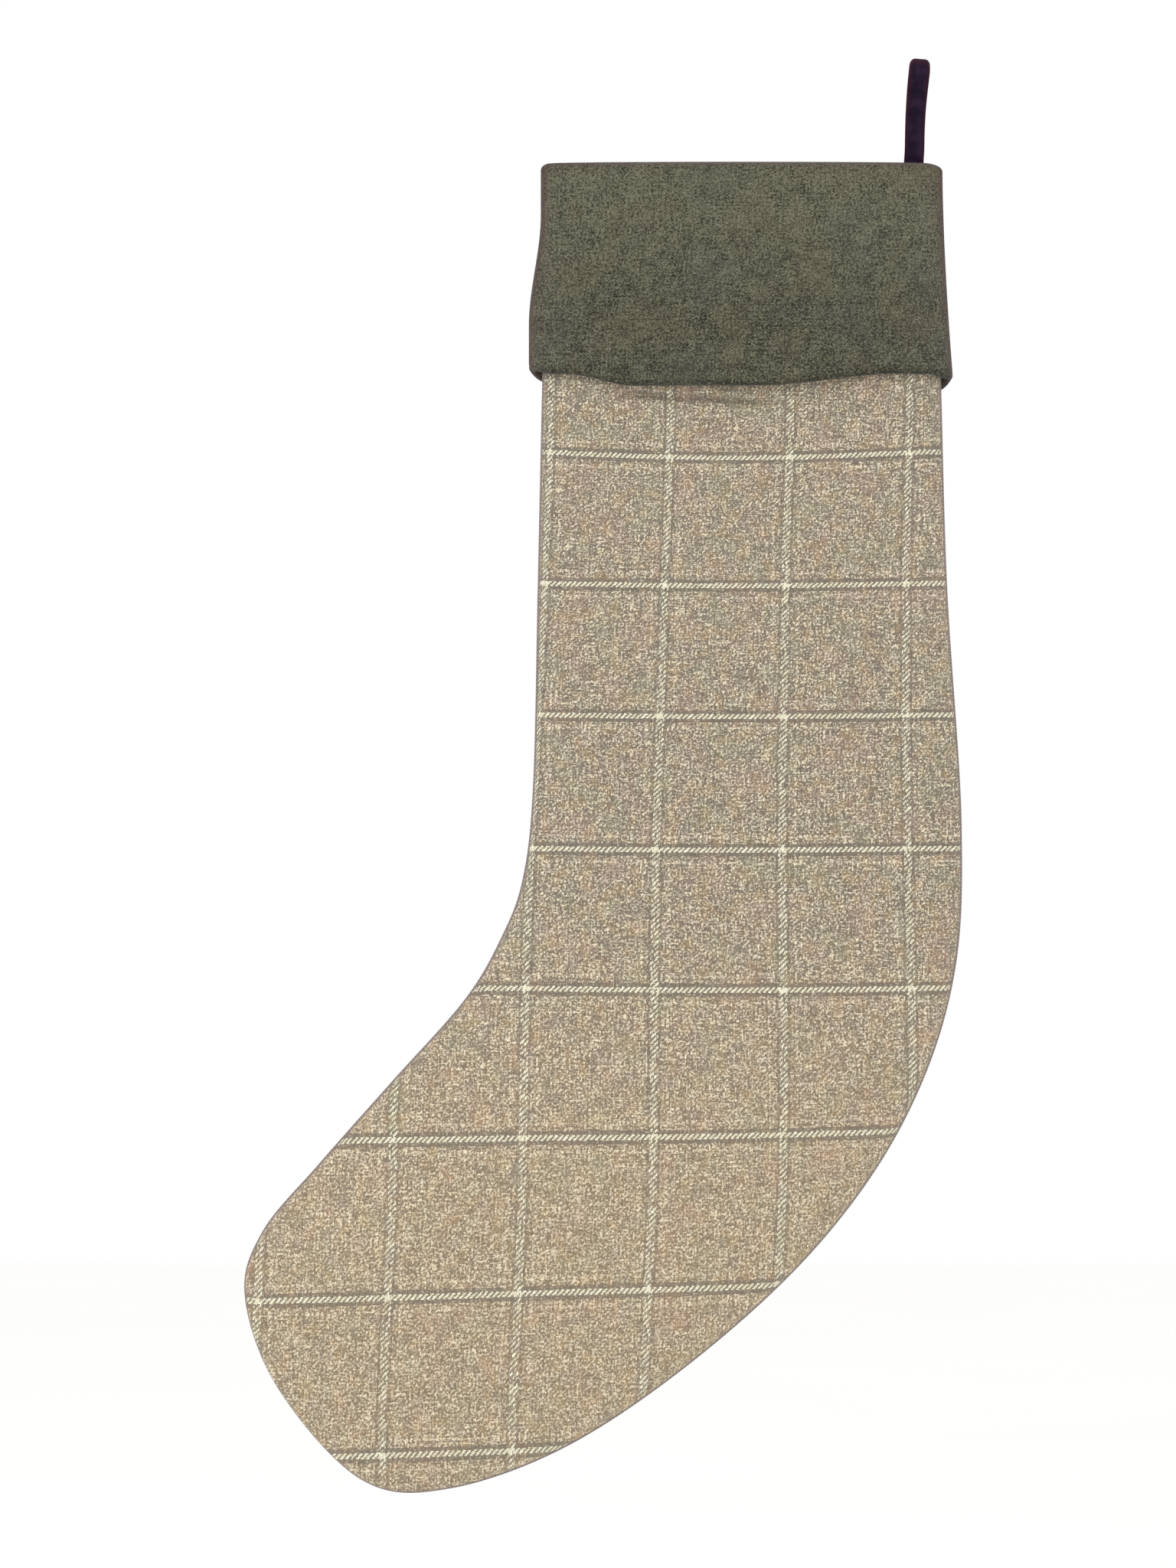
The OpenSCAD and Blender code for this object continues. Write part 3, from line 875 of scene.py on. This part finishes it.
def cuff_relief(x, z, share, seed):
    """How far the wool bulges outwards: soft waves that grow down to the hem, and one crease."""
    waves = crumple(np.stack([x, 0 * x, z * WAVE_SQUASH], -1), WAVE_H, WAVE_W, seed)
    crease_z = CUFF_HEM_Z + CUFF_CREASE_UP + CUFF_CREASE_SLOPE * (x - CUFF_CREASE_X)
    stretch = ramp(x, *CUFF_CREASE_STARTS_OVER) * (1 - ramp(x, *CUFF_CREASE_ENDS_OVER))
    crease = ridge(z - crease_z, CUFF_CREASE_HALF_W) * stretch
    return waves * smooth(share * WAVES_GROW) - CUFF_CREASE_DEPTH * crease


def cuff_grid(rows_out, rows_z, share, seed):
    """Points of a half of the cuff from each row's distance outside the tweed and height."""
    toe_flare = TOE_FLARE * ramp(share, *TOE_FLARE_OVER)
    heel_flare = HEEL_FLARE * np.clip(share, 0, 1) ** HEEL_FLARE_POWER
    flare_x = between(HEELWARD, toe_flare, heel_flare)
    flare_y = FRONT_FLARE * smooth(share)
    x, y = mouth_ring(rows_out + flare_x, rows_out + flare_y)
    y = y - cuff_relief(x, rows_z, share, seed) * np.sin(CUFF_ANGLE) ** 2
    return np.stack([x, y, rows_z], -1)


def cuff_profile(hem_drop, under):
    """Distance outside the tweed, height and share of the cuff's height for each row of the
    wool's outer face, or of its under face: over the crest, down the wall and round the hem."""
    hem_z = CUFF_HEM_Z - hem_drop
    wall_end_z = hem_z + HEM_R
    arch = np.linspace(np.pi, 0, ARCH_ROWS, endpoint=False)[:, None]
    wall = np.linspace(0, 1, WALL_ROWS, endpoint=False)[:, None]
    hem = np.linspace(0, -np.pi, HEM_ROWS, endpoint=False)[:, None]
    turn_up = np.linspace(0, 1, TURN_UP_ROWS)[:, None]
    arch_t, hem_t = (ARCH_T, HEM_T) if under else (0, 0)
    wall_t = 0
    if under:
        wall_t = between(ramp(wall, 0, THIN_AT_ARCH), ARCH_T, CUFF_T)
        wall_t = between(ramp(wall, 1 - THIN_AT_HEM, THIN_AT_HEM), wall_t, HEM_T)
    zeros = 0 * CUFF_ANGLE[None, :]
    out = np.concatenate([
        CUFF_OUTSIDE - ARCH_HALF_W + (ARCH_HALF_W - arch_t) * np.cos(arch) + zeros,
        CUFF_OUTSIDE - wall_t + zeros * wall,
        CUFF_OUTSIDE - HEM_R + (HEM_R - hem_t) * np.cos(hem) + zeros,
        CUFF_OUTSIDE - 2 * HEM_R + hem_t + zeros * turn_up,
    ])
    z = np.concatenate([
        SPRING_Z + (ARCH_RISE - arch_t) * np.sin(arch),
        between(wall, SPRING_Z, wall_end_z),
        wall_end_z + (HEM_R - hem_t) * np.sin(hem),
        wall_end_z + HEM_TURN_UP * turn_up,
    ])
    share = np.clip((SPRING_Z - z) / (SPRING_Z - hem_z), 0, 1)
    return out, z, share


def cuff_attributes(points, crest_row, hem_row):
    """Millimetres across and down the cloth with how near the hem is, for the painted shade along it, and how near
    a fold is.
    """
    across = lengths_along(points, 1)
    down = lengths_along(points, 0)
    down = down - down[crest_row]
    from_side = np.minimum(across, across[:, -1:] - across)
    fold = ridge(down, FOLD_BROWN_W) + ridge(from_side, SIDE_BROWN_W)
    hem = ridge(down - down[hem_row], HEM_DARK_W)
    cloth_place = np.stack([across / MM, down / MM, hem], -1)
    return {"cloth": cloth_place, "fold": np.clip(fold, 0, 1)}


def cuff_half(half, side, hem_drop):
    """The wool and the facing of one half of the cuff."""
    outer = cuff_grid(*cuff_profile(hem_drop, False), side)
    under = cuff_grid(*cuff_profile(hem_drop, True), side)
    share = np.linspace(0, 1, WALL_ROWS)[:, None]
    facing_z = between(share, SPRING_Z, CUFF_HEM_Z - hem_drop + HEM_R + HEM_TURN_UP)
    place = (SPRING_Z - facing_z) / (SPRING_Z - CUFF_HEM_Z + hem_drop)
    facing_outer = cuff_grid(FACING_OUT + FACING_T + 0 * facing_z, facing_z, place, side)
    facing_inner = cuff_grid(FACING_OUT + 0 * facing_z, facing_z, place, side)
    wool_places = cuff_attributes(outer, ARCH_ROWS // 2, ARCH_ROWS + WALL_ROWS + HEM_ROWS // 3)
    facing_places = cuff_attributes(facing_outer, 0, -1)
    if side < 0:
        outer, under = mirrored(outer), mirrored(under)
        facing_outer, facing_inner = mirrored(facing_outer), mirrored(facing_inner)
    wool = cloth(f"cuff_{half}_wool", outer, under, OLIVE_WOOL, wool_places, side < 0)
    facing = cloth(
        f"cuff_{half}_facing_cloth", facing_outer, facing_inner, COTTON, facing_places, side < 0
    )
    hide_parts(f"cuff_{half}", f"cuff_{half}_hem")
    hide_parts(f"cuff_{half}_facing")
    return wool, facing


def cuff_side_seam(name, column):
    """Rolled seam that joins the cuff's halves, over the fold and down one side."""
    drop = front_hem_drop()
    outer = cuff_grid(*cuff_profile(drop, False), 1)[: ARCH_ROWS + WALL_ROWS, column]
    under = cuff_grid(*cuff_profile(drop, True), 1)[: ARCH_ROWS + WALL_ROWS, column]
    path = (outer + under) / 2
    path[:, 1] = 0
    thickness = np.linalg.norm(outer - under, axis=1, keepdims=True)
    side, half_t = (outer - under) / thickness, thickness / 2 + CUFF_SEAM_PROUD
    rings = round_rings(path, side * half_t, DEPTHWARDS, 1.0, CUFF_SEAM_HALF)
    place = tube_places(np.linspace(0, 4 * CUFF_SEAM_HALF / MM, rings.shape[1]), path)
    fold = np.full(len(place), CUFF_SEAM_BROWN)
    piece = tube(name + "_roll", rings, OLIVE_WOOL, {"cloth": place, "fold": fold})
    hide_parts(name)
    return piece


def bend_with_cuff(piece):
    """Bakes the piece's placement into its own mesh."""
    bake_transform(piece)


for half, side, hem_drop in (("front", 1, front_hem_drop()), ("back", -1, back_hem_drop())):
    wool, facing = cuff_half(half, side, hem_drop)
    for piece, slot in ((wool, "cuff_wool"), (facing, "lining")):
        bend_with_cuff(piece)

for name, column in (("cuff_seam_toe_side", 0), ("cuff_seam_heel_side", -1)):
    seam = cuff_side_seam(name, column)
    bend_with_cuff(seam)


def mouth_piping():
    """Piping inside the mouth, where the lining meets the folded wool."""
    out = CUFF_OUTSIDE - 2 * ARCH_HALF_W + ARCH_T / 2
    x, y = mouth_ring(out, out)
    front = np.stack([x, y, SPRING_Z - PIPING_BELOW_ARCH], -1)
    path = np.concatenate([front, mirrored(front)[::-1]])
    along = np.roll(path, -1, 0) - np.roll(path, 1, 0)
    side = np.stack([along[:, 1], -along[:, 0], 0 * along[:, 2]], -1)
    side = side / np.linalg.norm(side, axis=1, keepdims=True)
    rings = round_rings(path, side, UPWARDS, PIPING_R, PIPING_R, PIPING_CORNERS)
    place = tube_places(np.linspace(0, 1, PIPING_CORNERS, endpoint=False), path)
    piece = tube("mouth_piping", rings, PIPING_YARN, {"cloth": place}, closed=True)
    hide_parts("mouth_seam")
    return piece


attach(mouth_piping(), "stocking")

# --- Ribbon loop ---

LOOP_ROWS = 150
RIBBON_CORNERS = 48
RIBBON_CORNER_R = 2.6 * MM  # rounding where the ribbon's edges slip down off the eye
PLY_GAP = 0.2 * MM
TEARDROP_L = 17 * MM
RIBBON_SQUARE_W, RIBBON_SQUARE_T = 0.35, 0.8  # powers that square off the ribbon's oval section
RIBBON_NARROWS = 0.05  # share of its width that the ribbon loses between the eye and NARROW_FROM
NARROW_FROM = 30 * MM
SWAY, SWAY_L = 0.5 * MM, 34 * MM
PILE_H, PILE_W = 0.16 * MM, 3 * MM
CORNERS_SLIP_OVER = (-2 * MM, 6 * MM)
TOP_EDGE_OVER = (1 * MM, 4 * MM)  # where the ribbon's colour turns to that of its edges


def ribbon_path():
    """Points [y, z] up the front ply, over the eye and down the back ply to the tails' ends."""
    reach = EYE_R + RIBBON_T / 2
    closed = PLY_GAP + RIBBON_T / 2
    down = np.linspace(-BEND_Z + TAIL_L, 0, LOOP_ROWS // 2, endpoint=False)
    gap = closed + (reach - closed) * (1 - smooth(down / TEARDROP_L))
    over = np.linspace(np.pi, 0, LOOP_ROWS // 3)
    front = np.stack([-gap, -down], -1)
    top = reach * np.stack([np.cos(over), np.sin(over)], -1)
    back = np.stack([gap, -down], -1)[::-1]
    return np.concatenate([front, top, back])


def ribbon():
    """The ribbon, whose edges slip down off the eye, leaning a little as in the photo."""
    path = ribbon_path()
    along = np.gradient(path, axis=0)
    along = along / np.linalg.norm(along, axis=1, keepdims=True)
    normal = np.stack([-along[:, 1], along[:, 0]], -1)
    angle = np.linspace(0, 2 * np.pi, RIBBON_CORNERS, endpoint=False)
    across = np.sign(np.cos(angle)) * np.abs(np.cos(angle)) ** RIBBON_SQUARE_W
    thick = np.sign(np.sin(angle)) * np.abs(np.sin(angle)) ** RIBBON_SQUARE_T
    height = path[:, 1][:, None]
    widens = ramp(height, -NARROW_FROM, NARROW_FROM)
    half_w = RIBBON_W / 2 * between(widens, 1 - RIBBON_NARROWS, 1)
    sway = -SWAY * np.sin(np.pi * np.clip(-height / SWAY_L, 0, 1))
    x = sway + half_w * across
    offset = (RIBBON_T / 2 * thick)[None, :, None] * normal[:, None, :]
    spots = np.stack([x, path[:, [0]] + 0 * x, height + 0 * x], -1)
    pile = crumple(spots, PILE_H, PILE_W, 5)[..., None] * np.sign(thick)[None, :, None]
    past_flat = np.clip(np.abs(half_w * across) - half_w + RIBBON_CORNER_R, 0, RIBBON_CORNER_R)
    corners = RIBBON_CORNER_R - np.sqrt(RIBBON_CORNER_R**2 - past_flat**2)
    corners = corners * ramp(height, *CORNERS_SLIP_OVER)
    yz = path[:, None, :] + offset + pile * normal[:, None]
    points = np.concatenate([x[..., None], yz], -1)
    points[..., 2] -= corners
    lean = np.array(Matrix.Rotation(LOOP_LEAN, 3, "Y"))
    place = tube_places(half_w * across / MM, path, ramp(height, *TOP_EDGE_OVER))
    return tube("ribbon_loop", points @ lean.T, VELVET, {"cloth": place})


loop = ribbon()
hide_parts("hanging_loop", "loop_tails")
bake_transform(loop)

for name in ("loop_bartack", "turning_gap_stitches"):
    for material_slot in frame["nodes"][name].material_slots:
        material_slot.material = STITCHES

# --- Studio ---

FLOOR_BELOW = 120 * MM
FLOOR_HALF_W = 4.0
PICTURE_H = 682.7 * MM  # height of the stretch of the object's plane that the picture shows
LENS = 200
PICTURE_FROM_BOX = Vector((-6.7 * MM, 0, -3.7 * MM))  # from the middle of the CAD box
LIGHTS = [  # name, place from the middle of the picture, size in metres, power in watts
    ("key_light", (-1.3, -1.9, 1.1), 1.4, 16),
    ("fill_light", (1.6, -1.6, 0.2), 1.6, 6),
]


def aim(thing, target):
    """Turns a light or a camera to face a point."""
    thing.rotation_euler = (target - thing.location).to_track_quat("-Z", "Y").to_euler()


def soft_light(name, place, size, power, target):
    """A square light that faces a point."""
    lamp = bpy.data.lights.new(name, "AREA")
    lamp.shape = "SQUARE"
    lamp.size = size
    lamp.energy = power
    made = bpy.data.objects.new(name, lamp)
    made.location = place
    aim(made, target)
    bpy.context.scene.collection.objects.link(made)


def studio():
    """Camera, lights, white surroundings and floor."""
    scene = bpy.context.scene
    middle = (CAD_BOX[0] + CAD_BOX[1]) / 2 + PICTURE_FROM_BOX
    camera = bpy.data.objects.new("camera", bpy.data.cameras.new("camera"))
    camera.data.lens = LENS
    distance = PICTURE_H * LENS / camera.data.sensor_width
    camera.location = Vector((middle.x, -distance, middle.z))
    aim(camera, Vector((middle.x, 0, middle.z)))
    scene.collection.objects.link(camera)
    scene.camera = camera

    for name, (x, y, z), size, power in LIGHTS:
        soft_light(name, (middle.x + x, y, middle.z + z), size, power, middle)

    world = bpy.data.worlds.new("studio_air")
    world.use_nodes = True
    world.node_tree.nodes["Background"].inputs["Color"].default_value = (1, 1, 1, 1)
    scene.world = world
    scene.view_settings.view_transform = "Standard"

    floor_z = CAD_BOX[0].z - FLOOR_BELOW
    signs = ((-1, -1), (1, -1), (1, 1), (-1, 1))
    corners = np.array([[FLOOR_HALF_W * x, FLOOR_HALF_W * y, floor_z] for x, y in signs])
    mesh_piece("floor", corners, [(0, 1, 2, 3)], floor_finish())


studio()
